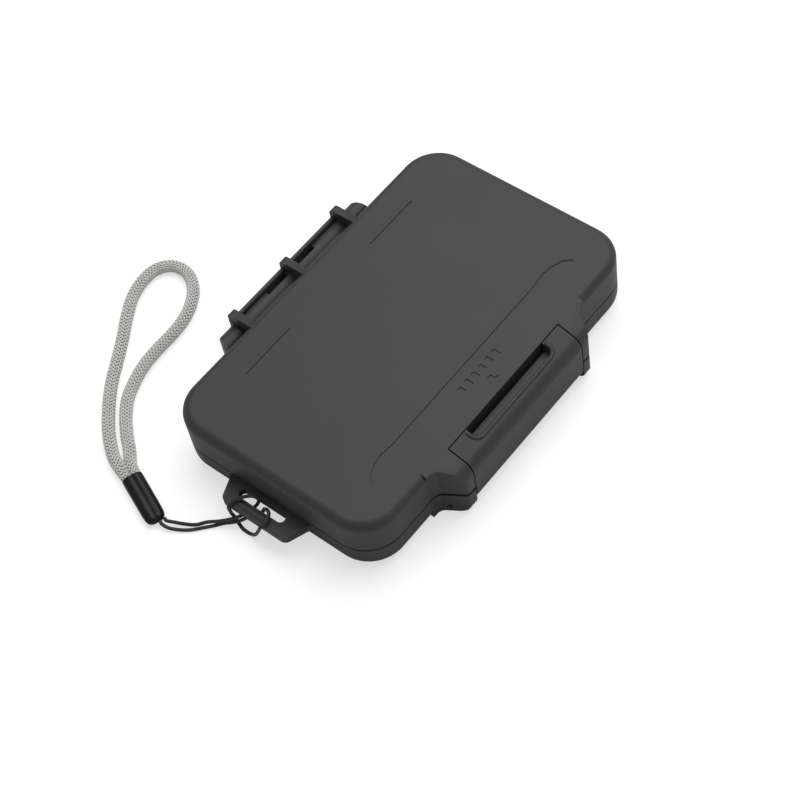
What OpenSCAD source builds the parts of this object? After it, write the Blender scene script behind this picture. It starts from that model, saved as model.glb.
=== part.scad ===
// Memory card case: a hinged hard case with a front latch, a lug and a wrist strap.
// The case lies closed. X runs along it, the latch faces -Y, the hinge is at +Y and z = 0 is the table.

/* [Case] */
// Length of the case body along X
case_l = 125; // [122:0.5:150]
// Width of the case body along Y, without nose and hinge
case_w = 77.4; // [76:0.1:84]
// Radius of the four upright corners
corner_r = 12.2; // [10:0.5:16]
// Wall thickness at the front and the two ends
wall = 2.6; // [2.2:0.1:3]
// Wall thickness at the hinge side
wall_back = 3.6; // [3.2:0.1:4]

/* [Base] */
// Height of the base from the table to its rim
base_h = 9.5; // [9.5:0.1:11]
// Radius of the base's rounded lower edge
base_edge_r = 5; // [3:0.1:5.6]
// Thickness of the base's floor
floor_t = 2; // [1.6:0.1:2.4]
// Depth of the ledge that carries the seal, below the rim
ledge_drop = 2.7; // [2.5:0.1:3.2]
// Width of the ledge that carries the seal
ledge_w = 1.7; // [1.5:0.1:2]

/* [Lid] */
// Height of the lid from the seam to its top, seam included
lid_h = 12.7; // [12:0.1:15]
// Radius of the lid's rounded upper edge
lid_edge_r = 3; // [1:0.1:3.4]
// Thickness of the lid's top
lid_top_t = 2.2; // [1.8:0.1:2.6]
// Open seam between the two rims
seam_gap = 0.4; // [0.2:0.05:0.5]
// Thickness of the tongue that dips into the base
tongue_t = 1.2; // [0.9:0.1:1.4]
// Play between the tongue and the base's wall
tongue_play = 0.2; // [0.16:0.01:0.3]
// Depth of the line that is let into the lid's top
crease_depth = 0.3; // [0.1:0.05:0.5]

/* [Seal] */
// Height of the seal
seal_h = 1.1; // [0.8:0.05:1.2]
// Width of the seal
seal_w = 1.2; // [0.8:0.05:1.3]

/* [Nose] */
// How far the nose with the latch stands out from the front wall
nose_out = 7.7; // [7.3:0.1:8.4]
// Half of the nose's width at the front wall
nose_root = 34; // [33:0.5:38]
// Half of the nose's width at its front face
nose_tip = 29.4; // [29.1:0.1:30]
// Radius of the nose's upper front edge
nose_r = 4.5; // [3:0.1:5]
// Radius of the nose's upright front corners
nose_corner_r = 2; // [1:0.1:2.4]
// Radius of the fillet between nose and front wall
nose_fillet_r = 3; // [1:0.1:4]
// How much lower the base's nose ends than its rim
nose_seam = 0.5; // [0:0.1:1]

/* [Latch] */
// Half of the latch's width
latch_half = 25.8; // [24.5:0.1:26]
// Gap between the latch and the shoulders on either side
latch_gap = 0.3; // [0.2:0.05:0.5]
// Thickness of the latch's plate
latch_t = 2.2; // [1.8:0.1:2.4]
// Height of the latch's pivot above the table
pivot_z = 3.2; // [3:0.1:3.5]
// Radius of the latch's hub
hub_r = 2.6; // [2.2:0.1:2.7]
// Radius of the pin that the latch turns on
latch_pin_r = 0.75; // [0.6:0.05:1]
// Half of the width of the finger recess
recess_half = 18; // [14:0.5:19]
// Depth of the finger recess along Y
recess_d = 3.9; // [3:0.1:4.2]
// Radius of the bead round the recess
bead_r = 0.7; // [0.5:0.1:0.9]
// Thickness of the ribs inside the latch
latch_rib_t = 1.4; // [1:0.1:2]
// How far the hooks and the catches overlap
hook_bite = 0.6; // [0.4:0.1:0.8]
// How far the latch opens, in degrees
latch_open = 50; // [40:1:50]

/* [Hinge] */
// Distance of the hinge axis behind the back wall
axis_out = 4.7; // [4.4:0.1:5.2]
// Height of the hinge axis above the table
axis_z = 14.5; // [14:0.1:15]
// Radius of the lid's barrel and of the end blocks
barrel_r = 3.4; // [3:0.1:3.4]
// Half of the length of the lid's barrel
barrel_half = 25.4; // [25.4:0.1:26]
// Gap between the barrel's ends and the end blocks
barrel_gap = 0.4; // [0.3:0.1:0.6]
// Width of the end blocks at the axis
block_w = 5.2; // [4.5:0.1:6]
// Width of the end blocks at the back wall
block_root_w = 8.2; // [7:0.1:8.6]
// Radius of the hinge pins
hinge_pin_r = 1; // [0.8:0.05:1.2]
// Length of the hinge pins
hinge_pin_l = 17; // [10:0.5:18]
// Thickness of the three ribs on the barrel
rib_t = 2.5; // [2:0.1:2.8]
// How far the outer ribs stand in from the barrel's ends
rib_inset = 0.15; // [0:0.05:2]
// How far the ribs stand out past the barrel
rib_over = 0.4; // [0:0.1:0.4]
// Distance from the middle to the far end of each hole beside the middle rib
hole_far = 10.8; // [6:0.1:11.5]
// Width along Y of each hole beside the middle rib
hole_w = 1.9; // [1:0.1:2]

/* [Lug] */
// Place of the lug's middle along Y
lug_y = 0.6; // [-10:0.1:10]
// How far the lug stands out from the end wall
lug_out = 7.9; // [7.9:0.1:9]
// Half of the lug's width at the end wall
lug_root = 15.2; // [13.5:0.1:18]
// Half of the lug's width at its outer edge
lug_tip = 12.1; // [11.6:0.1:13]
// Thickness of the lug
lug_t = 2.6; // [2:0.1:3]
// Drop of the lug's top below the base's rim
lug_drop = 1; // [0.8:0.1:1.2]
// Half of the length of the lug's slot
slot_half = 8.5; // [7.8:0.1:9]
// Width of the lug's slot
slot_w = 2.9; // [2.8:0.1:3]
// Distance of the slot from the end wall
slot_in = 1.4; // [1.2:0.1:1.5]
// Radius of the rounded bar that the strap's string goes round
bar_r = 1.8; // [1.5:0.05:1.8]

/* [Cards] */
// Short side of a small card's pocket
sd_w = 24.6; // [24.4:0.1:25]
// Long side of a small card's pocket
sd_l = 32.6; // [32.4:0.1:33]
// Depth of a small card's pocket
sd_depth = 2.4; // [2.2:0.1:2.8]
// Short side of a large card's pocket
cf_w = 36.8; // [36.6:0.1:37.2]
// Long side of a large card's pocket
cf_l = 43.2; // [43:0.1:44]
// Depth of a large card's pocket
cf_depth = 3.6; // [3.4:0.1:4]
// Wall between two pockets
pocket_gap = 2; // [1.4:0.1:2]
// Play of the trays in their shells
tray_play = 0.3; // [0.2:0.05:0.5]
// Thickness of the base tray
base_tray_t = 5; // [4:0.1:5.2]
// Thickness of the lid tray
lid_tray_t = 6.4; // [5:0.1:7]
// Radius of the finger scoops in the trays
scoop_r = 7; // [5:0.5:8]

/* [Strap] */
// Diameter of the knitted cord
cord_d = 3.8; // [3.4:0.1:3.8]
// Diameter of the knitted cord where the sleeve squeezes it
cord_neck_d = 3; // [2.8:0.1:3.2]
// Diameter of the string
string_d = 1.1; // [1:0.1:1.2]
// Length of the sleeve
sleeve_l = 18; // [15:0.1:18]
// Width of the sleeve
sleeve_w = 6.6; // [6.4:0.1:7.4]
// Thickness of the sleeve
sleeve_t = 4.2; // [4:0.1:4.6]

/* [Hidden] */
$fn = 64;
// Overlap of cuts beyond the surface that they open
over = 1;
// How far an arc cuts into the faces that it joins, so that it crosses them cleanly
tangent_play = 0.004;
// Radial play of a pin where it is held and where a part turns on it
pin_grip = 0.01;
pin_run = 0.05;
total_h = base_h + lid_h;
lid_z = base_h + seam_gap;
front_y = -case_w / 2;
back_y = case_w / 2;
side_x = case_l / 2;
// Hollow inside both shells, and the depths at which things sit in it
hollow_y = (wall - wall_back) / 2;
hollow_l = case_l - 2 * wall;
hollow_w = case_w - wall - wall_back;
hollow_r = corner_r - wall;
hollow_back_y = back_y - wall_back;
ceiling_z = total_h - lid_top_t;
ledge_z = base_h - ledge_drop;
tongue_z = ledge_z + seal_h + 0.35;
tongue_root_z = lid_z + 2;
// Line in the lid's top
crease_w = 0.7;
crease_y = front_y + 14.6;
// Nose: the part that carries the latch, from a little inside the front wall to its front face
nose_y = front_y - nose_out;
nose_in_y = front_y + lid_edge_r;
nose_foot_z = 0.8;
nose_foot_r = 3;
nose_slope = 18;
latch_wall_y = front_y + 1;
latch_top_y = latch_wall_y - latch_gap;
nose_edge_z = total_h - (latch_top_y - nose_y) * tan(nose_slope);
// Latch
pivot_y = latch_wall_y - hub_r - 0.8;
plate_foot_z = pivot_z + 2.2;
plate_in_y = nose_y + latch_t;
latch_in_y = latch_wall_y - 1;
latch_ribs = [5.6, 15.4];
shelf_z = total_h - 3.4;
shelf_t = 1.8;
recess_y = latch_top_y - recess_d;
catch_z = [base_h + 3, base_h + 4.6];
catch_y = latch_wall_y - 1.9;
hook_h = 2;
hook_gap = 0.2;
// Hinge side
axis_y = back_y + axis_out;
hinge_root_y = back_y - 2.5;
hinge_low_z = axis_z - barrel_r;
block_in = barrel_half + barrel_gap;
web_z = axis_z + 2.5;
lip_y = axis_y + barrel_r;
lip_t = 1.6;
lip_z = axis_z + 4.4;
rib_r = 2;
rib_x = barrel_half - rib_inset - rib_t / 2;
hole_near = rib_t / 2 + 0.65;
rib_top_z = total_h - 0.3;
rib_y = axis_y + barrel_r + rib_over - rib_r;
block_foot_z = 3;
block_foot_r = 2.5;
hinge_pin_x = block_in + block_w - 1 - hinge_pin_l;
// Lug and strap
slot_y = lug_y + 0.6;
bar_z = base_h - lug_drop - lug_t / 2;
bar_x = -side_x - lug_out + bar_r;
bar_ends = [-2.8, 9.1];
sleeve_mid = [-81.4, 35.1];
sleeve_turn = -21.9;
// Points of the knitted cord's middle line, from the sleeve's mouth round and back to it
loop_route = [[-79.53, 44.06, 2.1], [-77.98, 47.92, 2.1], [-75.7, 53.5, 1.9], [-70.5, 60.4, 1.9],
    [-63.7, 66.9, 1.9], [-56.8, 72.3, 1.9], [-49.5, 76.8, 1.9], [-42.4, 81.2, 1.9], [-35.8, 85.7, 1.9],
    [-28.9, 89.7, 1.9], [-22.2, 91.6, 1.9], [-16.4, 91.3, 1.9], [-12.5, 88.4, 1.9], [-11.2, 84.1, 1.9],
    [-12.3, 79.5, 1.9], [-15.7, 75.1, 1.9], [-20.7, 71.9, 1.9], [-26.3, 70, 1.9], [-32.3, 69.3, 1.9],
    [-38.7, 69.2, 1.9], [-45.1, 68.7, 1.9], [-51.5, 67, 1.9], [-57.7, 64.3, 1.9], [-63.1, 60.1, 1.9],
    [-67.9, 55.1, 1.9], [-71.4, 50.7, 1.9], [-74.9, 46.94, 2.1], [-76.53, 42.87, 2.1]];
// Points of the string's middle line: sleeve, under the lug's bar, up its slot, over the bar, down and
// round below the strands, up over the bar again, down the slot, under the bar and back to the sleeve
string_route = [[-82.59, 25.85, 1.8], [-82.96, 24.92, 1.8], [-81.6, 22.6, 1.1], [-80.3, 20.2, 0.7],
    [-78.6, 17.3, 0.7], [-76.4, 14.7, 1.6], [-74.4, 11.8, 2.1], [-72.9, 9.5, 3], [-71.6, 7.5, 4.1],
    [-69.6, 6.1, 4.4], [-66.9, 5.3, 4.3], [-65.5, 4, 6], [-64.9, 3, 8.2], [-64.6, 3, 9.4],
    [-65, 4.4, 10.2], [-66.2, 6, 10.3], [-67.8, 7.4, 10.1], [-69.5, 8.7, 9.6], [-71.2, 8.9, 8.9],
    [-71.3, 8.8, 7], [-71.1, 8.9, 5], [-70.6, 9.1, 2.8], [-70.5, 8.6, 1.3], [-71.1, 6.9, 0.7],
    [-71.7, 4.9, 0.7], [-71.8, 2.8, 0.7], [-71.7, 1, 1.2], [-71.9, -0.7, 3.2], [-71.7, -1.9, 5.4],
    [-71.5, -2.8, 7.4], [-71.4, -3.4, 8.8], [-70.5, -3.7, 9.6], [-68.7, -3.8, 9.9], [-67, -3.2, 9.9],
    [-66, -1.8, 9.8], [-66.1, -0.5, 9.2], [-65.9, 0.3, 7.4], [-65.9, 1.3, 5.7], [-67.4, 3, 4.6],
    [-69.2, 4.5, 4.1], [-71, 6.3, 2.9], [-72.3, 8.5, 1.7], [-73.3, 10.6, 0.7], [-75.4, 12.4, 0.6],
    [-78, 14.8, 0.6], [-80.6, 17.3, 0.6], [-82.4, 19.8, 0.6], [-84.2, 22.9, 1.2], [-84.6, 25.18, 1.8],
    [-84.08, 26.45, 1.8]];
// Colours
shell_grey = [0.27, 0.27, 0.28];
soft_black = [0.1, 0.1, 0.11];
steel = [0.6, 0.6, 0.62];
cord_grey = [0.42, 0.42, 0.43];

// A unit vector along v
function unit(v) = v / norm(v);

// The part of v that is square to the unit vector u
function square_to(v, u) = unit(v - (v * u) * u);

// Sliver between the corner at p, with edges along the unit vectors u and v, and the arc of radius r
module corner_sliver(p, u, v, r) {
    half = acos(u * v) / 2;
    reach = r / tan(half);
    middle = p + unit(u + v) * r / sin(half);
    out_u = -square_to(v, u) * over;
    out_v = -square_to(u, v) * over;
    difference() {
        polygon([p + out_u + out_v, p + u * reach + out_u, p + u * reach, middle, p + v * reach,
                 p + v * reach + out_v]);
        translate(middle)
            circle(r + tangent_play);
    }
}

// Fillet of radius r in the inner corner at p, whose faces run along the unit vectors u and v
module corner_fillet(p, u, v, r) {
    half = acos(u * v) / 2;
    reach = r / tan(half);
    middle = p + unit(u + v) * r / sin(half);
    difference() {
        polygon([p, p + u * reach, middle, p + v * reach]);
        translate(middle)
            circle(r + tangent_play);
    }
}

// A rectangle with round corners
module round_rect(l, w, r) {
    square([l - 2 * r, w], center = true);
    square([l, w - 2 * r], center = true);
    for (x = [-1, 1], y = [-1, 1])
        translate([x * (l / 2 - r), y * (w / 2 - r)])
            circle(r);
}

// Cut through a slab's side, from its corner's centre outwards, with an upper edge of radius e
module slab_section(r, h, e) {
    difference() {
        square([r, h]);
        translate([r - e, h - e])
            difference() {
                square(e + over);
                circle(e);
            }
    }
}

// A slab with upright corners of radius r and an upper edge of radius e
module slab(l, w, h, r, e) {
    for (x = [0, 1], y = [0, 1])
        mirror([x, 0, 0])
            mirror([0, y, 0])
                translate([l / 2 - r, w / 2 - r, 0])
                    rotate_extrude(angle = 90)
                        slab_section(r, h, e);
    for (s = [0, 180])
        rotate(s) {
            translate([-l / 2 + r, w / 2 - r, 0])
                rotate([90, 0, 90])
                    linear_extrude(l - 2 * r)
                        slab_section(r, h, e);
            translate([l / 2 - r, w / 2 - r, 0])
                rotate([90, 0, 0])
                    linear_extrude(w - 2 * r)
                        slab_section(r, h, e);
        }
    linear_extrude(h)
        square([l - 2 * r, w - 2 * r], center = true);
}

// Plan of the hollow inside both shells, drawn in by d
module hollow_plan(d) {
    translate([0, hollow_y])
        round_rect(hollow_l - 2 * d, hollow_w - 2 * d, hollow_r - d);
}

// A ring along the wall of the hollow, from d0 to d1 inside it and from z0 to z1
module wall_ring(d0, d1, z0, z1) {
    translate([0, 0, z0])
        linear_extrude(z1 - z0)
            difference() {
                hollow_plan(d0);
                hollow_plan(d1);
            }
}

// A piece from x0 to x1 whose cut is drawn in Y and Z
module along_x(x0, x1) {
    translate([x0, 0, 0])
        rotate([90, 0, 90])
            linear_extrude(x1 - x0)
                children();
}

// A round rod along X
module rod(x0, x1, y, z, r) {
    translate([x0, y, z])
        rotate([0, 90, 0])
            cylinder(r = r, h = x1 - x0);
}

// The same thing on the right and mirrored on the left
module both_ends() {
    children();
    mirror([1, 0, 0])
        children();
}

// Cut through the nose in Y and Z
module nose_section() {
    slope_dir = [cos(nose_slope), sin(nose_slope)];
    difference() {
        polygon([[nose_in_y, nose_foot_z], [nose_y, nose_foot_z], [nose_y, nose_edge_z],
                 [latch_top_y, total_h], [nose_in_y, total_h]]);
        corner_sliver([nose_y, nose_foot_z], [1, 0], [0, 1], nose_foot_r);
        corner_sliver([nose_y, nose_edge_z], [0, -1], slope_dir, nose_r);
    }
}

// Plan of one half of the nose, right of the middle
module nose_plan() {
    side = unit([nose_root - nose_tip, nose_out]);
    difference() {
        polygon([[0, nose_in_y], [0, nose_y], [nose_tip, nose_y], [nose_root, front_y],
                 [nose_root, nose_in_y]]);
        corner_sliver([nose_tip, nose_y], [-1, 0], side, nose_corner_r);
    }
    corner_fillet([nose_root, front_y], [1, 0], -side, nose_fillet_r);
    polygon([[nose_root, front_y], [nose_root, nose_in_y],
             [nose_root + nose_fillet_r, nose_in_y], [nose_root + nose_fillet_r, front_y]]);
}

// The two shoulders between z0 and z1
module shoulders(z0, z1) {
    both_ends()
        intersection() {
            along_x(latch_half + latch_gap, nose_root + nose_fillet_r)
                nose_section();
            translate([0, 0, z0])
                linear_extrude(z1 - z0)
                    nose_plan();
        }
}

// Cut through the latch in Y and Z, without its hollow
module latch_section() {
    foot = [nose_y, plate_foot_z];
    to_hub = [pivot_y, pivot_z] - foot;
    turn = atan2(-to_hub.y, to_hub.x) + asin(hub_r / norm(to_hub));
    foot_dir = [cos(turn), -sin(turn)];
    reach = sqrt(to_hub * to_hub - hub_r * hub_r);
    slope_dir = [cos(nose_slope), sin(nose_slope)];
    difference() {
        polygon([foot, [nose_y, nose_edge_z], [latch_top_y, total_h], [latch_top_y, shelf_z - shelf_t],
                 [latch_in_y, shelf_z - shelf_t], [latch_in_y, pivot_z], [pivot_y, pivot_z],
                 foot + foot_dir * reach]);
        corner_sliver([nose_y, nose_edge_z], [0, -1], slope_dir, nose_r);
        corner_sliver(foot, [0, 1], foot_dir, 1.2);
    }
    translate([pivot_y, pivot_z])
        circle(hub_r);
}

// Hollow between the latch's ribs, open towards the case
module latch_hollow(x0, x1) {
    hub_top_z = pivot_z + hub_r + 0.3;
    hollow_top_z = shelf_z - shelf_t;
    along_x(x0, x1)
        polygon([[plate_in_y, hub_top_z], [plate_in_y, hollow_top_z - 1.4], [plate_in_y + 1.6, hollow_top_z],
                 [latch_in_y + over, hollow_top_z], [latch_in_y + over, hub_top_z]]);
}

// Plan of the recess, grown by d
module recess_plan(d) {
    corner = 2 + d;
    difference() {
        translate([-recess_half - d, recess_y - d])
            square([2 * (recess_half + d), latch_wall_y - recess_y + d]);
        corner_sliver([-recess_half - d, recess_y - d], [1, 0], [0, 1], corner);
        corner_sliver([recess_half + d, recess_y - d], [-1, 0], [0, 1], corner);
    }
}

// The raised bead round the recess, laid in the slope of the nose
module recess_bead() {
    corner = 2 + bead_r;
    run = recess_d / cos(nose_slope);
    translate([0, latch_top_y, total_h])
        rotate([nose_slope, 0, 0])
            translate([0, -run, 0]) {
                rod(-recess_half + 2, recess_half - 2, -bead_r, -0.2, bead_r);
                both_ends() {
                    translate([recess_half - 2, 2, -0.2])
                        rotate(-90)
                            rotate_extrude(angle = 90)
                                translate([corner, 0])
                                    circle(bead_r);
                    translate([recess_half + bead_r, 2, -0.2])
                        rotate([-90, 0, 0])
                            cylinder(r = bead_r, h = run - 2 - bead_r);
                }
            }
}

// The latch: an end cap each side, two pairs of ribs, two hooks and the finger recess
module latch() {
    rib_half = latch_rib_t / 2;
    hook_z = catch_z[1] + hook_gap;
    color(shell_grey)
        difference() {
            union() {
                difference() {
                    along_x(-latch_half, latch_half)
                        latch_section();
                    latch_hollow(-latch_ribs[0] + rib_half, latch_ribs[0] - rib_half);
                    both_ends() {
                        latch_hollow(latch_ribs[0] + rib_half, latch_ribs[1] - rib_half);
                        latch_hollow(latch_ribs[1] + rib_half, latch_half - 1.6);
                    }
                }
                recess_bead();
                both_ends()
                    along_x(latch_ribs[0], latch_ribs[1])
                        polygon([[plate_in_y - 0.5, hook_z], [catch_y + hook_bite, hook_z],
                                 [catch_y + hook_bite, hook_z + hook_h / 2],
                                 [catch_y + hook_bite - hook_h / 2, hook_z + hook_h],
                                 [plate_in_y - 0.5, hook_z + hook_h]]);
            }
            translate([0, 0, shelf_z])
                linear_extrude(total_h - shelf_z + over)
                    recess_plan(0);
            translate([-recess_half, latch_in_y, shelf_z - shelf_t - over])
                cube([2 * recess_half, 2, shelf_t + 2 * over]);
            rod(-latch_half - over, latch_half + over, pivot_y, pivot_z, latch_pin_r + pin_run);
        }
}

// The pin that the latch turns on
module latch_pin() {
    color(steel)
        rod(-nose_tip - 1, nose_tip + 1, pivot_y, pivot_z, latch_pin_r);
}

// Cut through the web, lip and barrel that belong to the lid
module flange_section() {
    polygon([[hinge_root_y, hinge_low_z], [axis_y, hinge_low_z], [axis_y, axis_z], [lip_y, axis_z],
             [lip_y, lip_z - lip_t / 2], [lip_y - lip_t, lip_z - lip_t / 2], [lip_y - lip_t, web_z],
             [hinge_root_y, web_z]]);
    translate([lip_y - lip_t / 2, lip_z - lip_t / 2])
        circle(lip_t / 2);
    translate([axis_y, axis_z])
        circle(barrel_r);
}

// Cut through one of the three ribs of the hinge
module rib_section() {
    polygon([[hinge_root_y, hinge_low_z], [hinge_root_y, rib_top_z], [rib_y, rib_top_z],
             [rib_y, rib_top_z - rib_r], [rib_y + rib_r, rib_top_z - rib_r], [rib_y + rib_r, axis_z],
             [axis_y, axis_z], [axis_y, hinge_low_z]]);
    translate([rib_y, rib_top_z - rib_r])
        circle(rib_r);
    translate([axis_y, axis_z])
        circle(barrel_r + rib_over);
}

// Half of the line that is let into the lid's top at the front, right of the middle
module front_crease() {
    bend_x = nose_root - 0.5;
    points = [[0, crease_y], [bend_x, crease_y], [bend_x + 5, crease_y + 0.6], [bend_x + 8.6, crease_y],
              [bend_x + 12, crease_y - 1.4], [bend_x + 14, crease_y - 3.6]];
    for (i = [0:len(points) - 2]) {
        step = points[i + 1] - points[i];
        translate(points[i])
            rotate(atan2(step.y, step.x))
                translate([0, -crease_w / 2])
                    square([norm(step), crease_w]);
        if (i > 0)
            translate(points[i])
                circle(d = crease_w);
    }
}

// Arrow and grip bars that point at the latch
module opening_mark() {
    polygon([[0, -2.4], [2.3, 0], [0.9, 0], [0.9, 1.8], [-0.9, 1.8], [-0.9, 0], [-2.3, 0]]);
    for (x = [-8:3.2:8])
        translate([x, 5.2])
            square([1.4, 2.6], center = true);
}

// The upper shell
module lid_shell() {
    mark_depth = 0.3;
    color(shell_grey)
        difference() {
            union() {
                difference() {
                    translate([0, 0, lid_z])
                        slab(case_l, case_w, lid_h - seam_gap, corner_r, lid_edge_r);
                    translate([-latch_half - latch_gap, front_y - over, lid_z - over])
                        cube([2 * (latch_half + latch_gap), latch_wall_y - front_y + over, lid_h + 2 * over]);
                }
                along_x(-nose_root, nose_root)
                    translate([latch_wall_y, total_h - lid_edge_r])
                        square([nose_in_y - latch_wall_y, lid_edge_r]);
                shoulders(lid_z, total_h);
                along_x(-barrel_half, barrel_half)
                    flange_section();
                for (x = [-rib_x, 0, rib_x])
                    along_x(x - rib_t / 2, x + rib_t / 2)
                        rib_section();
                both_ends()
                    along_x(latch_ribs[0] + latch_rib_t / 2 + 0.5, latch_ribs[1] - latch_rib_t / 2 - 0.5)
                        polygon([[latch_wall_y + 0.5, catch_z[1]], [catch_y, catch_z[1]],
                                 [catch_y, catch_z[1] - 0.7], [latch_wall_y + 0.5, catch_z[0] - 1]]);
            }
            translate([0, 0, lid_z - over])
                linear_extrude(ceiling_z - lid_z + over)
                    hollow_plan(0);
            both_ends()
                translate([hole_near, axis_y, axis_z - barrel_r - over])
                    cube([hole_far - hole_near, hole_w, 3 * barrel_r]);
            both_ends()
                rod(hinge_pin_x - 0.5, barrel_half + over, axis_y, axis_z, hinge_pin_r + pin_run);
            translate([0, front_y + 4.6, total_h - mark_depth])
                linear_extrude(mark_depth + over)
                    opening_mark();
            translate([0, 0, total_h - crease_depth])
                linear_extrude(crease_depth + over)
                    both_ends()
                        front_crease();
            translate([0, 0, total_h - crease_depth])
                linear_extrude(crease_depth + over)
                    both_ends()
                        translate([block_in - 6.8, back_y - 12])
                            square([20, crease_w]);
        }
    color(shell_grey) {
        wall_ring(tongue_play, tongue_play + tongue_t, tongue_z, tongue_root_z);
        wall_ring(-0.4, tongue_play + tongue_t, lid_z, tongue_root_z);
    }
}

// One end block of the hinge, on the right
module hinge_block() {
    root_y = back_y - 1.5;
    intersection() {
        along_x(block_in, block_in + block_root_w) {
            difference() {
                union() {
                    translate([root_y, block_foot_z])
                        square([lip_y - root_y, base_h - block_foot_z]);
                    translate([axis_y - barrel_r, block_foot_z])
                        square([2 * barrel_r, axis_z - block_foot_z]);
                }
                corner_sliver([lip_y, block_foot_z], [-1, 0], [0, 1], block_foot_r);
            }
            translate([axis_y, axis_z])
                circle(barrel_r);
        }
        linear_extrude(total_h)
            polygon([[block_in, root_y], [block_in, lip_y], [block_in + block_w, lip_y],
                     [block_in + block_root_w, back_y], [block_in + block_root_w, root_y]]);
    }
}

// Plan of the lug
module lug_plan() {
    edge_x = -side_x - lug_out;
    wall_x = -side_x + 1;
    root_x = -side_x;
    corner_r2 = 2.5;
    difference() {
        polygon([[wall_x, lug_y - lug_root], [root_x, lug_y - lug_root], [edge_x, lug_y - lug_tip],
                 [edge_x, lug_y + lug_tip], [root_x, lug_y + lug_root], [wall_x, lug_y + lug_root]]);
        for (s = [-1, 1])
            corner_sliver([edge_x, lug_y + s * lug_tip], [0, -s], unit([lug_out, s * (lug_root - lug_tip)]),
                          corner_r2);
    }
    for (s = [-1, 1])
        corner_fillet([root_x, lug_y + s * lug_root], [0, s],
                      -unit([lug_out, s * (lug_root - lug_tip)]), 1.6);
}

// The lug with its slot and its rounded bar
module lug() {
    slot_x = -side_x - slot_in - slot_w / 2;
    end_r = slot_w / 2;
    translate([0, 0, bar_z - lug_t / 2])
        linear_extrude(lug_t)
            difference() {
                lug_plan();
                translate([slot_x, slot_y])
                    square([slot_w, 2 * (slot_half - end_r)], center = true);
                for (s = [-1, 1])
                    translate([slot_x, slot_y + s * (slot_half - end_r)])
                        circle(end_r);
            }
    translate([bar_x, bar_ends[0], bar_z])
        rotate([-90, 0, 0])
            cylinder(r = bar_r, h = bar_ends[1] - bar_ends[0]);
}

// The lower shell
module base_shell() {
    pin_hole_x = nose_root + nose_fillet_r;
    color(shell_grey)
        difference() {
            union() {
                difference() {
                    translate([0, 0, base_h])
                        mirror([0, 0, 1])
                            slab(case_l, case_w, base_h, corner_r, base_edge_r);
                    translate([-latch_half - latch_gap, front_y - over, -over])
                        cube([2 * (latch_half + latch_gap), latch_wall_y - front_y + over, base_h + 2 * over]);
                }
                shoulders(0, base_h - nose_seam);
                both_ends()
                    hinge_block();
                lug();
            }
            translate([0, 0, ledge_z])
                linear_extrude(ledge_drop + over)
                    hollow_plan(0);
            translate([0, 0, floor_t])
                linear_extrude(base_h)
                    hollow_plan(ledge_w);
            rod(-pin_hole_x, pin_hole_x, pivot_y, pivot_z, latch_pin_r + pin_grip);
            both_ends()
                rod(block_in - over, block_in + block_root_w + over, axis_y, axis_z, hinge_pin_r + pin_grip);
        }
}

// The seal on the ledge inside the base's rim
module seal() {
    side_gap = (ledge_w - seal_w) / 2;
    color(soft_black)
        wall_ring(side_gap, side_gap + seal_w, ledge_z, ledge_z + seal_h);
}

// Plan of one row of pockets
module pocket_row(count, l, w, gap) {
    for (i = [0:count - 1])
        translate([(i - (count - 1) / 2) * (l + gap), 0])
            round_rect(l, w, 1);
}

// The soft insert in the base, with two rows of small pockets
module base_card_tray() {
    row_y = (sd_w + pocket_gap) / 2;
    top_z = floor_t + base_tray_t;
    color(soft_black)
        difference() {
            translate([0, 0, floor_t])
                linear_extrude(base_tray_t)
                    hollow_plan(ledge_w + tray_play);
            for (s = [-1, 1])
                translate([0, hollow_y + s * row_y, top_z - sd_depth])
                    linear_extrude(sd_depth + over)
                        pocket_row(3, sd_l, sd_w, pocket_gap);
            for (i = [-1, 1], j = [-1:1])
                translate([j * (sd_l + pocket_gap), hollow_y + i * (2 * row_y - 1), top_z - sd_depth])
                    cylinder(r = scoop_r, h = sd_depth + over);
        }
}

// The soft insert in the lid, with one row of large pockets
module lid_card_tray() {
    low_z = ceiling_z - lid_tray_t;
    color(soft_black)
        difference() {
            translate([0, 0, low_z])
                linear_extrude(lid_tray_t)
                    hollow_plan(tongue_play + tongue_t + tray_play);
            translate([0, hollow_y, low_z - over])
                linear_extrude(cf_depth + over)
                    pocket_row(3, cf_w, cf_l, pocket_gap);
            for (i = [-1, 1], j = [-1:1])
                translate([j * (cf_w + pocket_gap), hollow_y + i * cf_l / 2, low_z - over])
                    cylinder(r = scoop_r, h = cf_depth + over);
        }
}

// The two short pins of the hinge
module hinge_pin() {
    rod(hinge_pin_x, hinge_pin_x + hinge_pin_l, axis_y, axis_z, hinge_pin_r);
}

module hinge_pin_right() {
    color(steel)
        hinge_pin();
}

module hinge_pin_left() {
    color(steel)
        mirror([1, 0, 0])
            hinge_pin();
}

// Direction of a route at point i, halfway between its two neighbours
function heading(route, i) =
    unit(route[min(i + 1, len(route) - 1)] - route[max(i - 1, 0)]);

// Directions square to a route at each of its points, each carried on from the one before
function sides(route, i = 1, found = []) =
    i > len(route) ? found :
    let (before = len(found) == 0 ? cross(heading(route, 0), [0.11, 0.13, 1]) : found[i - 2],
         along = heading(route, i - 1),
         flat = before - (before * along) * along)
    sides(route, i + 1, concat(found, [unit(flat)]));

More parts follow.
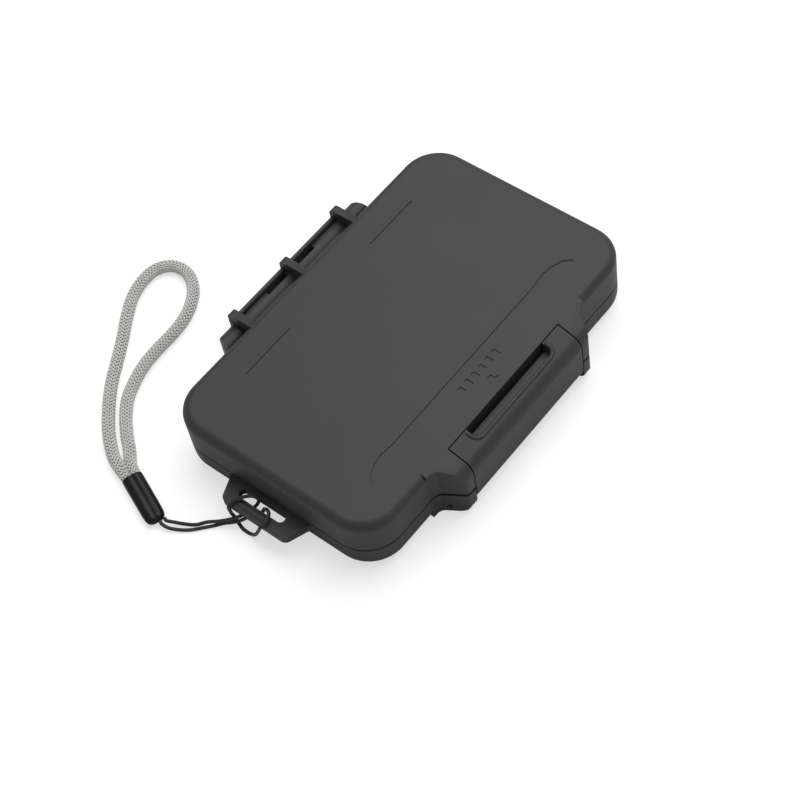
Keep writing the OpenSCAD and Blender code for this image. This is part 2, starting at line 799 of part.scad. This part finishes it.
// A tube along a route, with its radius given at each point
module tube(route, radii) {
    n = 8;
    last = len(route) - 1;
    across = sides(route);
    rings = [for (i = [0:last], k = [0:n - 1])
        let (turn = 360 * k / n, along = heading(route, i))
        route[i] + radii[i] * (cos(turn) * across[i] + sin(turn) * cross(along, across[i]))];
    skin = [for (i = [0:last - 1], k = [0:n - 1])
        let (a = i * n + k, b = i * n + (k + 1) % n)
        each [[a, b + n, b], [a, a + n, b + n]]];
    caps = [[for (k = [0:n - 1]) k], [for (k = [n - 1:-1:0]) last * n + k]];
    polyhedron(rings, concat(skin, caps));
}

// The knitted cord of the strap, thinner where the sleeve grips it
module strap_loop() {
    last = len(loop_route) - 1;
    color(cord_grey)
        tube(loop_route, [for (i = [0:last]) (i == 0 || i == last ? cord_neck_d : cord_d) / 2]);
}

// The string that joins the sleeve to the lug
module strap_string() {
    color(soft_black)
        tube(string_route, [for (p = string_route) string_d / 2]);
}

// The flattened sleeve that holds the ends of the cord and of the string
module strap_sleeve() {
    color(soft_black)
        translate([sleeve_mid.x, sleeve_mid.y, sleeve_t / 2])
            rotate([90, 0, sleeve_turn])
                linear_extrude(sleeve_l, center = true) {
                    square([sleeve_w - sleeve_t, sleeve_t], center = true);
                    for (s = [-1, 1])
                        translate([s * (sleeve_w - sleeve_t) / 2, 0])
                            circle(sleeve_t / 2);
                }
}

base_shell();
lid_shell();
latch();
hinge_pin_left();
hinge_pin_right();
latch_pin();
seal();
base_card_tray();
lid_card_tray();
strap_loop();
strap_sleeve();
strap_string();
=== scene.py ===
import math

import bmesh
import bpy
from mathutils import Matrix, Vector
from mathutils.bvhtree import BVHTree
from mathutils.geometry import intersect_point_line


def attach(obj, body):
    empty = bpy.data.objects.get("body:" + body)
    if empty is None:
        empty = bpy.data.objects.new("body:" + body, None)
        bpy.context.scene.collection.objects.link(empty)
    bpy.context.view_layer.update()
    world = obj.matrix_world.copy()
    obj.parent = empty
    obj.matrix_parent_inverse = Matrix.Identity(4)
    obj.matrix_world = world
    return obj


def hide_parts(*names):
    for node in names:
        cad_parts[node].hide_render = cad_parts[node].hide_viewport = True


# A memory card case, shut, with its wrist strap laid out behind it. Lengths are in metres.
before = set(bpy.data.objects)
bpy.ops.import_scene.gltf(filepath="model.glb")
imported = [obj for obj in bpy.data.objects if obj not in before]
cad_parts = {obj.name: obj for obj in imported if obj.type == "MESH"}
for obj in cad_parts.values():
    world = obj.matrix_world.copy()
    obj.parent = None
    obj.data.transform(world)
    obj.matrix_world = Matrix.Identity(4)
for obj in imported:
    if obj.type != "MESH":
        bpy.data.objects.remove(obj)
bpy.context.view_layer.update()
MM = 0.001


# Camera, light and table

CAMERA_AZIMUTH = math.radians(-41.34)
CAMERA_ELEVATION = math.radians(55.05)
CAMERA_ROLL = math.radians(-12.09)
CAMERA_TARGET = Vector((-14.82, -9.55, 9.5)) * MM
CAMERA_DISTANCE = 560.56 * MM
CAMERA_LENS = 85.86
WORLD_LIGHT = 0.42
LAMP_PLACE = Vector((0.5, 0.1, 1.05))
LAMP_SIZE = (1.3, 1.1)
LAMP_POWER = 13.0
TABLE_RADIUS = 1.6
TABLE_WHITE = 0.86
TABLE_SEEN_SHADE = 0.5
TABLE_SEEN_GLOW = 0.6


def linked(name, data):
    """A new object of that name in the scene, holding data."""
    holder = bpy.data.objects.new(name, data)
    bpy.context.collection.objects.link(holder)
    return holder


def camera_like_the_photograph():
    back = Vector((math.sin(CAMERA_AZIMUTH) * math.cos(CAMERA_ELEVATION),
                   -math.cos(CAMERA_AZIMUTH) * math.cos(CAMERA_ELEVATION),
                   math.sin(CAMERA_ELEVATION)))
    level = (-back).cross(Vector((0, 0, 1))).normalized()
    upright = level.cross(-back)
    right = level * math.cos(CAMERA_ROLL) + upright * math.sin(CAMERA_ROLL)
    up = upright * math.cos(CAMERA_ROLL) - level * math.sin(CAMERA_ROLL)
    data = bpy.data.cameras.new("camera")
    data.lens = CAMERA_LENS
    data.sensor_width = 36
    data.clip_start = 0.01
    camera = linked("camera", data)
    turn = Matrix((right, up, back)).transposed().to_4x4()
    camera.matrix_world = Matrix.Translation(CAMERA_TARGET + back * CAMERA_DISTANCE) @ turn
    bpy.context.scene.camera = camera


def overhead_lamp():
    data = bpy.data.lights.new("overhead", "AREA")
    data.shape = "RECTANGLE"
    data.size, data.size_y = LAMP_SIZE
    data.energy = LAMP_POWER
    lamp = linked("overhead", data)
    turn = (-LAMP_PLACE).to_track_quat("-Z", "Y").to_matrix().to_4x4()
    lamp.matrix_world = Matrix.Translation(LAMP_PLACE) @ turn


def split_by_camera(nodes, links, for_light, for_camera, surface):
    """The camera sees one shader, and the light that falls on the case comes from the other."""
    path = nodes.new("ShaderNodeLightPath")
    mix = nodes.new("ShaderNodeMixShader")
    links.new(path.outputs["Is Camera Ray"], mix.inputs["Fac"])
    links.new(for_light.outputs[0], mix.inputs[1])
    links.new(for_camera.outputs[0], mix.inputs[2])
    links.new(mix.outputs[0], surface)


def grey_node(nodes, kind, grey, strength=None):
    """A shader of one grey, with a strength where it gives light."""
    node = nodes.new(kind)
    node.inputs["Color"].default_value = (grey, grey, grey, 1)
    if strength is not None:
        node.inputs["Strength"].default_value = strength
    return node


def studio_world():
    world = bpy.data.worlds.new("studio")
    world.use_nodes = True
    bpy.context.scene.world = world
    nodes, links = world.node_tree.nodes, world.node_tree.links
    nodes.clear()
    out = nodes.new("ShaderNodeOutputWorld")
    dim = grey_node(nodes, "ShaderNodeBackground", 1, WORLD_LIGHT)
    white = grey_node(nodes, "ShaderNodeBackground", 1, 1.0)
    split_by_camera(nodes, links, dim, white, out.inputs["Surface"])


def new_material(name):
    material = bpy.data.materials.new(name)
    material.use_nodes = True
    return material, material.node_tree.nodes, material.node_tree.links


def white_table():
    bm = bmesh.new()
    bmesh.ops.create_circle(bm, cap_ends=True, segments=96, radius=TABLE_RADIUS)
    mesh = bpy.data.meshes.new("table")
    bm.to_mesh(mesh)
    bm.free()
    material, nodes, links = new_material("white_table")
    nodes.clear()
    out = nodes.new("ShaderNodeOutputMaterial")
    matt = grey_node(nodes, "ShaderNodeBsdfDiffuse", TABLE_WHITE)
    shade = grey_node(nodes, "ShaderNodeBsdfDiffuse", TABLE_SEEN_SHADE)
    glow = grey_node(nodes, "ShaderNodeEmission", 1, TABLE_SEEN_GLOW)
    seen = nodes.new("ShaderNodeAddShader")
    links.new(shade.outputs[0], seen.inputs[0])
    links.new(glow.outputs[0], seen.inputs[1])
    split_by_camera(nodes, links, matt, seen, out.inputs["Surface"])
    mesh.materials.append(material)
    linked("table", mesh)


camera_like_the_photograph()
bpy.context.scene.view_settings.view_transform = "Standard"
studio_world()
overhead_lamp()
white_table()


# Finishes

def colour_mix(nodes, dark, light):
    colour = nodes.new("ShaderNodeMix")
    colour.data_type = "RGBA"
    colour.inputs["A"].default_value = (*dark, 1)
    colour.inputs["B"].default_value = (*light, 1)
    return colour


def range_node(nodes, low, high):
    spread = nodes.new("ShaderNodeMapRange")
    spread.inputs["To Min"].default_value = low
    spread.inputs["To Max"].default_value = high
    return spread


def relief_node(nodes, strength, depth):
    relief = nodes.new("ShaderNodeBump")
    relief.inputs["Strength"].default_value = strength
    relief.inputs["Distance"].default_value = depth
    return relief


def noise_node(nodes, scale=None, detail=None):
    noise = nodes.new("ShaderNodeTexNoise")
    if scale is not None:
        noise.inputs["Scale"].default_value = scale
    if detail is not None:
        noise.inputs["Detail"].default_value = detail
    return noise


def fine_grain_group():
    """Moulded grain: a height, and a mask of slightly paler rubbed places."""
    group = bpy.data.node_groups.new("fine_grain", "ShaderNodeTree")
    for name, value in (("Grain Scale", 2600.0), ("Blotch Scale", 40.0)):
        socket = group.interface.new_socket(name=name, in_out="INPUT", socket_type="NodeSocketFloat")
        socket.default_value = value
    for name in ("Height", "Blotch"):
        group.interface.new_socket(name=name, in_out="OUTPUT", socket_type="NodeSocketFloat")
    nodes, links = group.nodes, group.links
    source = nodes.new("NodeGroupInput")
    result = nodes.new("NodeGroupOutput")
    coords = nodes.new("ShaderNodeTexCoord")
    grain = noise_node(nodes, detail=3.0)
    pits = nodes.new("ShaderNodeTexVoronoi")
    pits.feature = "F1"
    blotch = noise_node(nodes, detail=4.0)
    both = nodes.new("ShaderNodeMath")
    both.operation = "ADD"
    for texture in (grain, pits, blotch):
        links.new(coords.outputs["Object"], texture.inputs["Vector"])
    links.new(source.outputs["Grain Scale"], grain.inputs["Scale"])
    links.new(source.outputs["Grain Scale"], pits.inputs["Scale"])
    links.new(source.outputs["Blotch Scale"], blotch.inputs["Scale"])
    links.new(grain.outputs["Fac"], both.inputs[0])
    links.new(pits.outputs["Distance"], both.inputs[1])
    links.new(both.outputs[0], result.inputs["Height"])
    links.new(blotch.outputs["Fac"], result.inputs["Blotch"])
    return group


GRAIN = fine_grain_group()


def moulded(name, dark, light, roughness, grain_scale, bump, gloss):
    """A moulded material: its colour wanders between dark and light, over a fine grain."""
    material, nodes, links = new_material(name)
    shader = nodes["Principled BSDF"]
    grain = nodes.new("ShaderNodeGroup")
    grain.node_tree = GRAIN
    grain.inputs["Grain Scale"].default_value = grain_scale
    colour = colour_mix(nodes, dark, light)
    rough = range_node(nodes, roughness - 0.05, roughness + 0.05)
    relief = relief_node(nodes, bump, 0.02 * MM)
    links.new(grain.outputs["Blotch"], colour.inputs["Factor"])
    links.new(grain.outputs["Blotch"], rough.inputs["Value"])
    links.new(grain.outputs["Height"], relief.inputs["Height"])
    links.new(colour.outputs["Result"], shader.inputs["Base Color"])
    links.new(rough.outputs["Result"], shader.inputs["Roughness"])
    links.new(relief.outputs["Normal"], shader.inputs["Normal"])
    shader.inputs["Specular IOR Level"].default_value = gloss
    return material


def drawn_steel():
    """Bright steel with fine drawing lines along X."""
    material, nodes, links = new_material("pin_steel")
    shader = nodes["Principled BSDF"]
    shader.inputs["Metallic"].default_value = 1.0
    coords = nodes.new("ShaderNodeTexCoord")
    stretch = nodes.new("ShaderNodeMapping")
    stretch.inputs["Scale"].default_value = (60, 4000, 4000)
    lines = noise_node(nodes, scale=1.0)
    rough = range_node(nodes, 0.2, 0.42)
    colour = colour_mix(nodes, (0.5, 0.5, 0.52), (0.66, 0.66, 0.68))
    links.new(coords.outputs["Object"], stretch.inputs["Vector"])
    links.new(stretch.outputs[0], lines.inputs["Vector"])
    links.new(lines.outputs["Fac"], rough.inputs["Value"])
    links.new(lines.outputs["Fac"], colour.inputs["Factor"])
    links.new(rough.outputs["Result"], shader.inputs["Roughness"])
    links.new(colour.outputs["Result"], shader.inputs["Base Color"])
    return material


def yarn(name, dark, light, roughness, sheen):
    """Spun yarn: fine fibres and a soft sheen."""
    material, nodes, links = new_material(name)
    shader = nodes["Principled BSDF"]
    coords = nodes.new("ShaderNodeTexCoord")
    fibres = noise_node(nodes, scale=5200.0, detail=3.0)
    tone = noise_node(nodes, scale=700.0)
    colour = colour_mix(nodes, dark, light)
    relief = relief_node(nodes, 0.5, 0.05 * MM)
    for texture in (fibres, tone):
        links.new(coords.outputs["Object"], texture.inputs["Vector"])
    links.new(tone.outputs["Fac"], colour.inputs["Factor"])
    links.new(fibres.outputs["Fac"], relief.inputs["Height"])
    links.new(colour.outputs["Result"], shader.inputs["Base Color"])
    links.new(relief.outputs["Normal"], shader.inputs["Normal"])
    shader.inputs["Roughness"].default_value = roughness
    shader.inputs["Sheen Weight"].default_value = sheen
    return material


SHELL = moulded("charcoal_shell", (0.031, 0.031, 0.032), (0.037, 0.037, 0.038), 0.5, 2600.0, 0.35, 0.28)
INSERT = moulded("black_insert", (0.012, 0.012, 0.013), (0.018, 0.018, 0.019), 0.75, 1800.0, 0.5, 0.4)
SILICONE = moulded("dark_silicone", (0.02, 0.02, 0.021), (0.028, 0.028, 0.029), 0.45, 900.0, 0.2, 0.4)
GLOSS = moulded("black_sleeve", (0.006, 0.006, 0.0065), (0.009, 0.009, 0.0095), 0.26, 700.0, 0.12, 0.16)
STEEL = drawn_steel()
GREY_YARN = yarn("grey_yarn", (0.47, 0.47, 0.45), (0.62, 0.62, 0.6), 0.85, 0.3)
# Painted shade: the loop's core is coloured dark so that the gaps between the stitches show as shade
CORE_PAINTED_SHADE = yarn("core_painted_shade", (0.1, 0.1, 0.095), (0.15, 0.15, 0.145), 0.95, 0.0)
BLACK_STRING = yarn("black_string", (0.008, 0.008, 0.009), (0.018, 0.018, 0.019), 0.6, 0.1)


# Strap: the routes of its two cords, in millimetres

LOOP_ROUTE = [
    (-79.53, 44.06, 2.1), (-77.98, 47.92, 2.1), (-75.7, 53.5, 2.1), (-70.5, 60.4, 2.1), (-63.7, 66.9, 2.1),
    (-56.8, 72.3, 2.1), (-49.5, 76.8, 2.1), (-42.4, 81.2, 2.1), (-35.8, 85.7, 2.1), (-28.9, 89.7, 2.1),
    (-22.2, 91.6, 2.1), (-16.4, 91.3, 2.1), (-12.5, 88.4, 2.1), (-11.2, 84.1, 2.1), (-12.3, 79.5, 2.1),
    (-15.7, 75.1, 2.1), (-20.7, 71.9, 2.1), (-26.3, 70, 2.1), (-32.3, 69.3, 2.1), (-38.7, 69.2, 2.1),
    (-45.1, 68.7, 2.1), (-51.5, 67, 2.1), (-57.7, 64.3, 2.1), (-63.1, 60.1, 2.1), (-67.9, 55.1, 2.1),
    (-71.4, 50.7, 2.1), (-74.9, 46.94, 2.1), (-76.53, 42.87, 2.1)]
STRING_ROUTE = [
    (-82.59, 25.85, 1.8), (-82.96, 24.92, 1.8), (-81.6, 22.6, 1.1), (-80.3, 20.2, 0.7), (-78.6, 17.3, 0.7),
    (-76.4, 14.7, 1.6), (-74.4, 11.8, 2.1), (-72.9, 9.5, 3), (-71.6, 7.5, 4.1), (-69.6, 6.1, 4.4),
    (-66.9, 5.3, 4.3), (-65.5, 4, 6), (-64.9, 3, 8.2), (-64.6, 3, 9.4), (-65, 4.4, 10.2),
    (-66.2, 6, 10.3), (-67.8, 7.4, 10.1), (-69.5, 8.7, 9.6), (-71.2, 8.9, 8.9), (-71.3, 8.8, 7),
    (-71.1, 8.9, 5), (-70.6, 9.1, 2.8), (-70.5, 8.6, 1.3), (-71.1, 6.9, 0.7), (-71.7, 4.9, 0.7),
    (-71.8, 2.8, 0.7), (-71.7, 1, 1.2), (-71.9, -0.7, 3.2), (-71.7, -1.9, 5.4), (-71.5, -2.8, 7.4),
    (-71.4, -3.4, 8.8), (-70.5, -3.7, 9.6), (-68.7, -3.8, 9.9), (-67, -3.2, 9.9), (-66, -1.8, 9.8),
    (-66.1, -0.5, 9.2), (-65.9, 0.3, 7.4), (-65.9, 1.3, 5.7), (-67.4, 3, 4.6), (-69.2, 4.5, 4.1),
    (-71, 6.3, 2.9), (-72.3, 8.5, 1.7), (-73.3, 10.6, 0.7), (-75.4, 12.4, 0.6), (-78, 14.8, 0.6),
    (-80.6, 17.3, 0.6), (-82.4, 19.8, 0.6), (-84.2, 22.9, 1.2), (-84.6, 25.18, 1.8), (-84.08, 26.45, 1.8)]


def smooth_route(points, step):
    """A smooth curve through the points, as points about step apart, and its length."""
    parts = 24
    route = [Vector(p) * MM for p in points]
    ends = [route[0] * 2 - route[1]] + route + [route[-1] * 2 - route[-2]]
    dense = []
    for a, b, c, d in zip(ends, ends[1:], ends[2:], ends[3:]):
        for k in range(parts):
            t = k / parts
            dense.append(0.5 * (2 * b + (c - a) * t + (2 * a - 5 * b + 4 * c - d) * t ** 2
                                + (3 * b - a - 3 * c + d) * t ** 3))
    dense.append(route[-1])
    travelled = [0.0]
    for a, b in zip(dense, dense[1:]):
        travelled.append(travelled[-1] + (b - a).length)
    count = max(2, round(travelled[-1] / step))
    found, k = [], 0
    for i in range(count + 1):
        want = travelled[-1] * i / count
        while k < len(dense) - 2 and travelled[k + 1] < want:
            k += 1
        span = travelled[k + 1] - travelled[k]
        share = (want - travelled[k]) / span if span else 0.0
        found.append(dense[k].lerp(dense[k + 1], min(1.0, share)))
    return found, travelled[-1]


def headings(points):
    """The direction of the route at each of its points."""
    last = len(points) - 1
    return [(points[min(i + 1, last)] - points[max(i - 1, 0)]).normalized() for i in range(last + 1)]


def round_cord(name, points, radius, material, widths=None):
    """A round cord along the points, thinner where its width is less than 1."""
    data = bpy.data.curves.new(name, "CURVE")
    data.dimensions = "3D"
    data.bevel_depth = radius
    data.bevel_resolution = 4
    data.use_fill_caps = True
    data.materials.append(material)
    spline = data.splines.new("POLY")
    spline.points.add(len(points) - 1)
    for i, (slot, point) in enumerate(zip(spline.points, points)):
        slot.co = (*point, 1)
        slot.radius = widths[i] if widths else 1.0
    return linked(name, data)


def finished(name, bm, material):
    """A bmesh as an object at the origin, smooth shaded."""
    for face in bm.faces:
        face.smooth = True
    mesh = bpy.data.meshes.new(name)
    bm.to_mesh(mesh)
    bm.free()
    mesh.materials.append(material)
    return linked(name, mesh)


# Strap: knitted hand loop

COURSE = 1.25 * MM
WALES = 8
STITCH_CIRCLE_R = 1.74 * MM
STITCH_HALF_SIZE = (0.3 * MM, 0.34 * MM, 0.86 * MM)
STITCH_LEG_GAP = 0.33 * MM
STITCH_LEAN = math.radians(24)
CORE_R = 1.6 * MM
SQUEEZED_WIDTH = 0.76
SQUEEZED_COURSES = 4


def stitch_ring():
    """One course of knit: a V of two leaning legs for each wale."""
    bm = bmesh.new()
    for wale in range(WALES):
        turn = Matrix.Rotation(2 * math.pi * wale / WALES, 4, "Z")
        for side in (-1, 1):
            lean = Matrix.Rotation(side * STITCH_LEAN, 4, "X")
            place = Matrix.Translation((STITCH_CIRCLE_R, side * STITCH_LEG_GAP, 0))
            shape = Matrix.Diagonal((*STITCH_HALF_SIZE, 1))
            bmesh.ops.create_uvsphere(bm, u_segments=6, v_segments=5, radius=1.0,
                                      matrix=turn @ place @ lean @ shape)
    return bm


def width_at(course, last):
    """The cord's width: full along the loop, and squeezed where the sleeve holds it."""
    from_end = min(course, last - course)
    return SQUEEZED_WIDTH + (1 - SQUEEZED_WIDTH) * min(1.0, from_end / SQUEEZED_COURSES)


def knitted_loop():
    courses, length = smooth_route(LOOP_ROUTE, COURSE)
    last = len(courses) - 1
    widths = [width_at(i, last) for i in range(last + 1)]
    ahead = headings(courses)
    bm = stitch_ring()
    ring = bm.verts[:] + bm.edges[:] + bm.faces[:]
    across = ahead[0].cross(Vector((0, 0, 1))).normalized()
    for centre, along, width in zip(courses, ahead, widths):
        across = (across - across.dot(along) * along).normalized()
        turn = Matrix((across * width, along.cross(across) * width, along)).transposed().to_4x4()
        copy = bmesh.ops.duplicate(bm, geom=ring)
        fresh = [v for v in copy["geom"] if isinstance(v, bmesh.types.BMVert)]
        bmesh.ops.transform(bm, matrix=Matrix.Translation(centre) @ turn, verts=fresh)
    pattern = [v for v in ring if isinstance(v, bmesh.types.BMVert)]
    bmesh.ops.delete(bm, geom=pattern, context="VERTS")
    loop = finished("hand_loop", bm, GREY_YARN)
    # The core's dark colour is painted shade, seen through the gaps between the stitches
    core = round_cord("hand_loop_core", courses, CORE_R, CORE_PAINTED_SHADE, widths)
    return loop, core, courses, length


loop, loop_core, loop_line, loop_length = knitted_loop()
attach(loop, "base")
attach(loop_core, "base")
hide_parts("strap_loop")


# Strap: string through the lug

STRING_D = 1.1 * MM
STRING_STEP = 0.5 * MM

string_line, string_length = smooth_route(STRING_ROUTE, STRING_STEP)
string = round_cord("lug_string", string_line, STRING_D / 2, BLACK_STRING)
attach(string, "base")
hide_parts("strap_string")


# Strap: sleeve, with its mouth towards the hand loop

SLEEVE_PLACE = Vector((-81.4, 35.1, 2.12)) * MM
SLEEVE_TURN = math.radians(-21.9)
SLEEVE_HALF_L = 9 * MM
SLEEVE_HALF_W = 3.3 * MM
SLEEVE_HALF_T = 2.1 * MM
SLEEVE_WAIST = 0.24
SLEEVE_WALL = 0.5 * MM
# Place along the sleeve in millimetres, and the shares of its full width and thickness there
SLEEVE_STATIONS = [
    (8.6, 1.0, 1.0), (4.6, 1.0, 1.0), (0, 0.99, 1.0), (-3.1, 0.99, 0.98), (-4.8, 0.98, 0.9),
    (-6.2, 0.97, 0.88), (-7.4, 0.93, 0.9), (-8.25, 0.84, 0.84), (-8.75, 0.68, 0.68),
    (-8.96, 0.45, 0.42), (-9, 0.2, 0.18)]


def crimped_sleeve():
    """A flattened tube, waisted between the two cords, with a round shut end."""
    bm = bmesh.new()
    mouth = bmesh.ops.create_circle(bm, segments=40, radius=1.0,
                                    matrix=Matrix.Rotation(math.radians(90), 4, "X"))
    for v in mouth["verts"]:
        waist = 1 - SLEEVE_WAIST * (1 - abs(v.co.x)) ** 2
        v.co = Vector((v.co.x * SLEEVE_HALF_W, SLEEVE_HALF_L, v.co.z * SLEEVE_HALF_T * waist))
    rim = list(dict.fromkeys(e for v in mouth["verts"] for e in v.link_edges))
    wide_before, thick_before = 1.0, 1.0
    for y, wide, thick in SLEEVE_STATIONS:
        step = bmesh.ops.extrude_edge_only(bm, edges=rim)
        rim = [e for e in step["geom"] if isinstance(e, bmesh.types.BMEdge)]
        ring = [v for v in step["geom"] if isinstance(v, bmesh.types.BMVert)]
        for v in ring:
            v.co = Vector((v.co.x * wide / wide_before, y * MM, v.co.z * thick / thick_before))
        wide_before, thick_before = wide, thick
    bmesh.ops.contextual_create(bm, geom=rim)
    seat = Matrix.Translation(SLEEVE_PLACE) @ Matrix.Rotation(SLEEVE_TURN, 4, "Z")
    bmesh.ops.transform(bm, matrix=seat, verts=bm.verts)
    bmesh.ops.recalc_face_normals(bm, faces=bm.faces)
    sleeve = finished("crimp_sleeve", bm, GLOSS)
    wall = sleeve.modifiers.new("wall", "SOLIDIFY")
    wall.thickness = SLEEVE_WALL
    wall.offset = -1
    soft = sleeve.modifiers.new("soft", "SUBSURF")
    soft.levels = soft.render_levels = 2
    return sleeve


sleeve = crimped_sleeve()
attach(sleeve, "base")
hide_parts("strap_sleeve")


# Shells, latch, seal and inserts: the solids with their free edges rounded

SHELL_EDGE_R = 0.2 * MM
INSERT_EDGE_R = 0.3 * MM
SEAL_EDGE_R = 0.25 * MM
ROUNDED_FROM = math.radians(32)
SHADED_SHARP_FROM = math.radians(36)
FLAT_ENOUGH = math.radians(0.4)
MERGE_DISTANCE = 0.002 * MM
# The cosine above which two edges count as one line
STRAIGHT_ON = 0.85
# Shares of the rounding's width: the room that it needs beside an edge, how far it may leave the
# surface, and how much further than the nearest edge another may lie and still be to blame
ROOM_FOR_ROUNDING = 2.6
ASTRAY_FROM = 0.45
BLAMED_WITHIN = 0.5


def runs_on(edge, other, vert):
    """Whether the other edge carries on from this one, more or less straight."""
    one = (edge.other_vert(vert).co - vert.co).normalized()
    two = (other.other_vert(vert).co - vert.co).normalized()
    return abs(one.dot(two)) > STRAIGHT_ON


def edges_to_round(bm, width):
    """Sharp edges with room for a rounding on both sides, in runs that end at real corners."""
    room = ROOM_FOR_ROUNDING * width

    def has_room(edge):
        if len(edge.link_faces) != 2 or edge.calc_face_angle(0.0) < ROUNDED_FROM:
            return False
        if any(face.calc_area() < room * edge.calc_length() for face in edge.link_faces):
            return False
        return all(other is edge or other.calc_length() > room or runs_on(edge, other, vert)
                   for vert in edge.verts for other in vert.link_edges)

    chosen = {edge for edge in bm.edges if has_room(edge)}
    while True:
        loose = [edge for edge in chosen for vert in edge.verts
                 if not any(other in chosen for other in vert.link_edges if other is not edge)
                 and any(runs_on(edge, other, vert) for other in vert.link_edges if other is not edge)]
        if not loose:
            return sorted(chosen, key=lambda edge: edge.index)
        chosen -= set(loose)


def distance_to_edge(point, edge):
    start, end = (vert.co for vert in edge.verts)
    share = intersect_point_line(point, start, end)[1]
    return (point - start.lerp(end, min(1.0, max(0.0, share)))).length


def with_round_edges(solid, width):
    """The solid with rounded edges. An edge whose rounding would leave the surface stays sharp."""
    surface = BVHTree.FromBMesh(solid)
    chosen = {edge.index for edge in edges_to_round(solid, width)}
    solid.edges.ensure_lookup_table()
    while True:
        bm = solid.copy()
        bm.edges.ensure_lookup_table()
        bmesh.ops.bevel(bm, geom=[bm.edges[i] for i in sorted(chosen)], offset=width, offset_type="OFFSET",
                        segments=2, profile=0.5, affect="EDGES", clamp_overlap=False, material=-1)
        astray = [vert.co.copy() for vert in bm.verts
                  if surface.find_nearest(vert.co)[3] > ASTRAY_FROM * width]
        if not astray or not chosen:
            return bm
        bm.free()
        dropped = set()
        for point in astray:
            reach = sorted((distance_to_edge(point, solid.edges[i]), i) for i in chosen)
            dropped |= {i for distance, i in reach if distance <= reach[0][0] + BLAMED_WITHIN * width}
        chosen -= dropped


def softened(node, name, width, material, body):
    """A copy of a solid with rounded edges: flat faces are shaded flat, fillets smooth."""
    solid = bmesh.new()
    solid.from_mesh(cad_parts[node].data)
    bmesh.ops.remove_doubles(solid, verts=solid.verts, dist=MERGE_DISTANCE)
    bmesh.ops.dissolve_limit(solid, angle_limit=FLAT_ENOUGH, verts=solid.verts, edges=solid.edges)
    solid.edges.index_update()
    bm = with_round_edges(solid, width)
    solid.free()
    for edge in bm.edges:
        if len(edge.link_faces) == 2 and edge.calc_face_angle(0.0) > SHADED_SHARP_FROM:
            edge.smooth = False
    piece = finished(name, bm, material)
    shading = piece.modifiers.new("flat_faces", "WEIGHTED_NORMAL")
    shading.weight = 90
    shading.keep_sharp = True
    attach(piece, body)
    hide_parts(node)


softened("base_shell", "lower_shell", SHELL_EDGE_R, SHELL, "base")
softened("lid_shell", "upper_shell", SHELL_EDGE_R, SHELL, "lid")
softened("latch", "front_latch", SHELL_EDGE_R, SHELL, "latch")
softened("base_card_tray", "small_card_insert", INSERT_EDGE_R, INSERT, "base")
softened("lid_card_tray", "large_card_insert", INSERT_EDGE_R, INSERT, "lid")
softened("seal", "rim_seal", SEAL_EDGE_R, SILICONE, "base")
for node in ("hinge_pin_left", "hinge_pin_right", "latch_pin"):
    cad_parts[node].data.materials.clear()
    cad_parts[node].data.materials.append(STEEL)
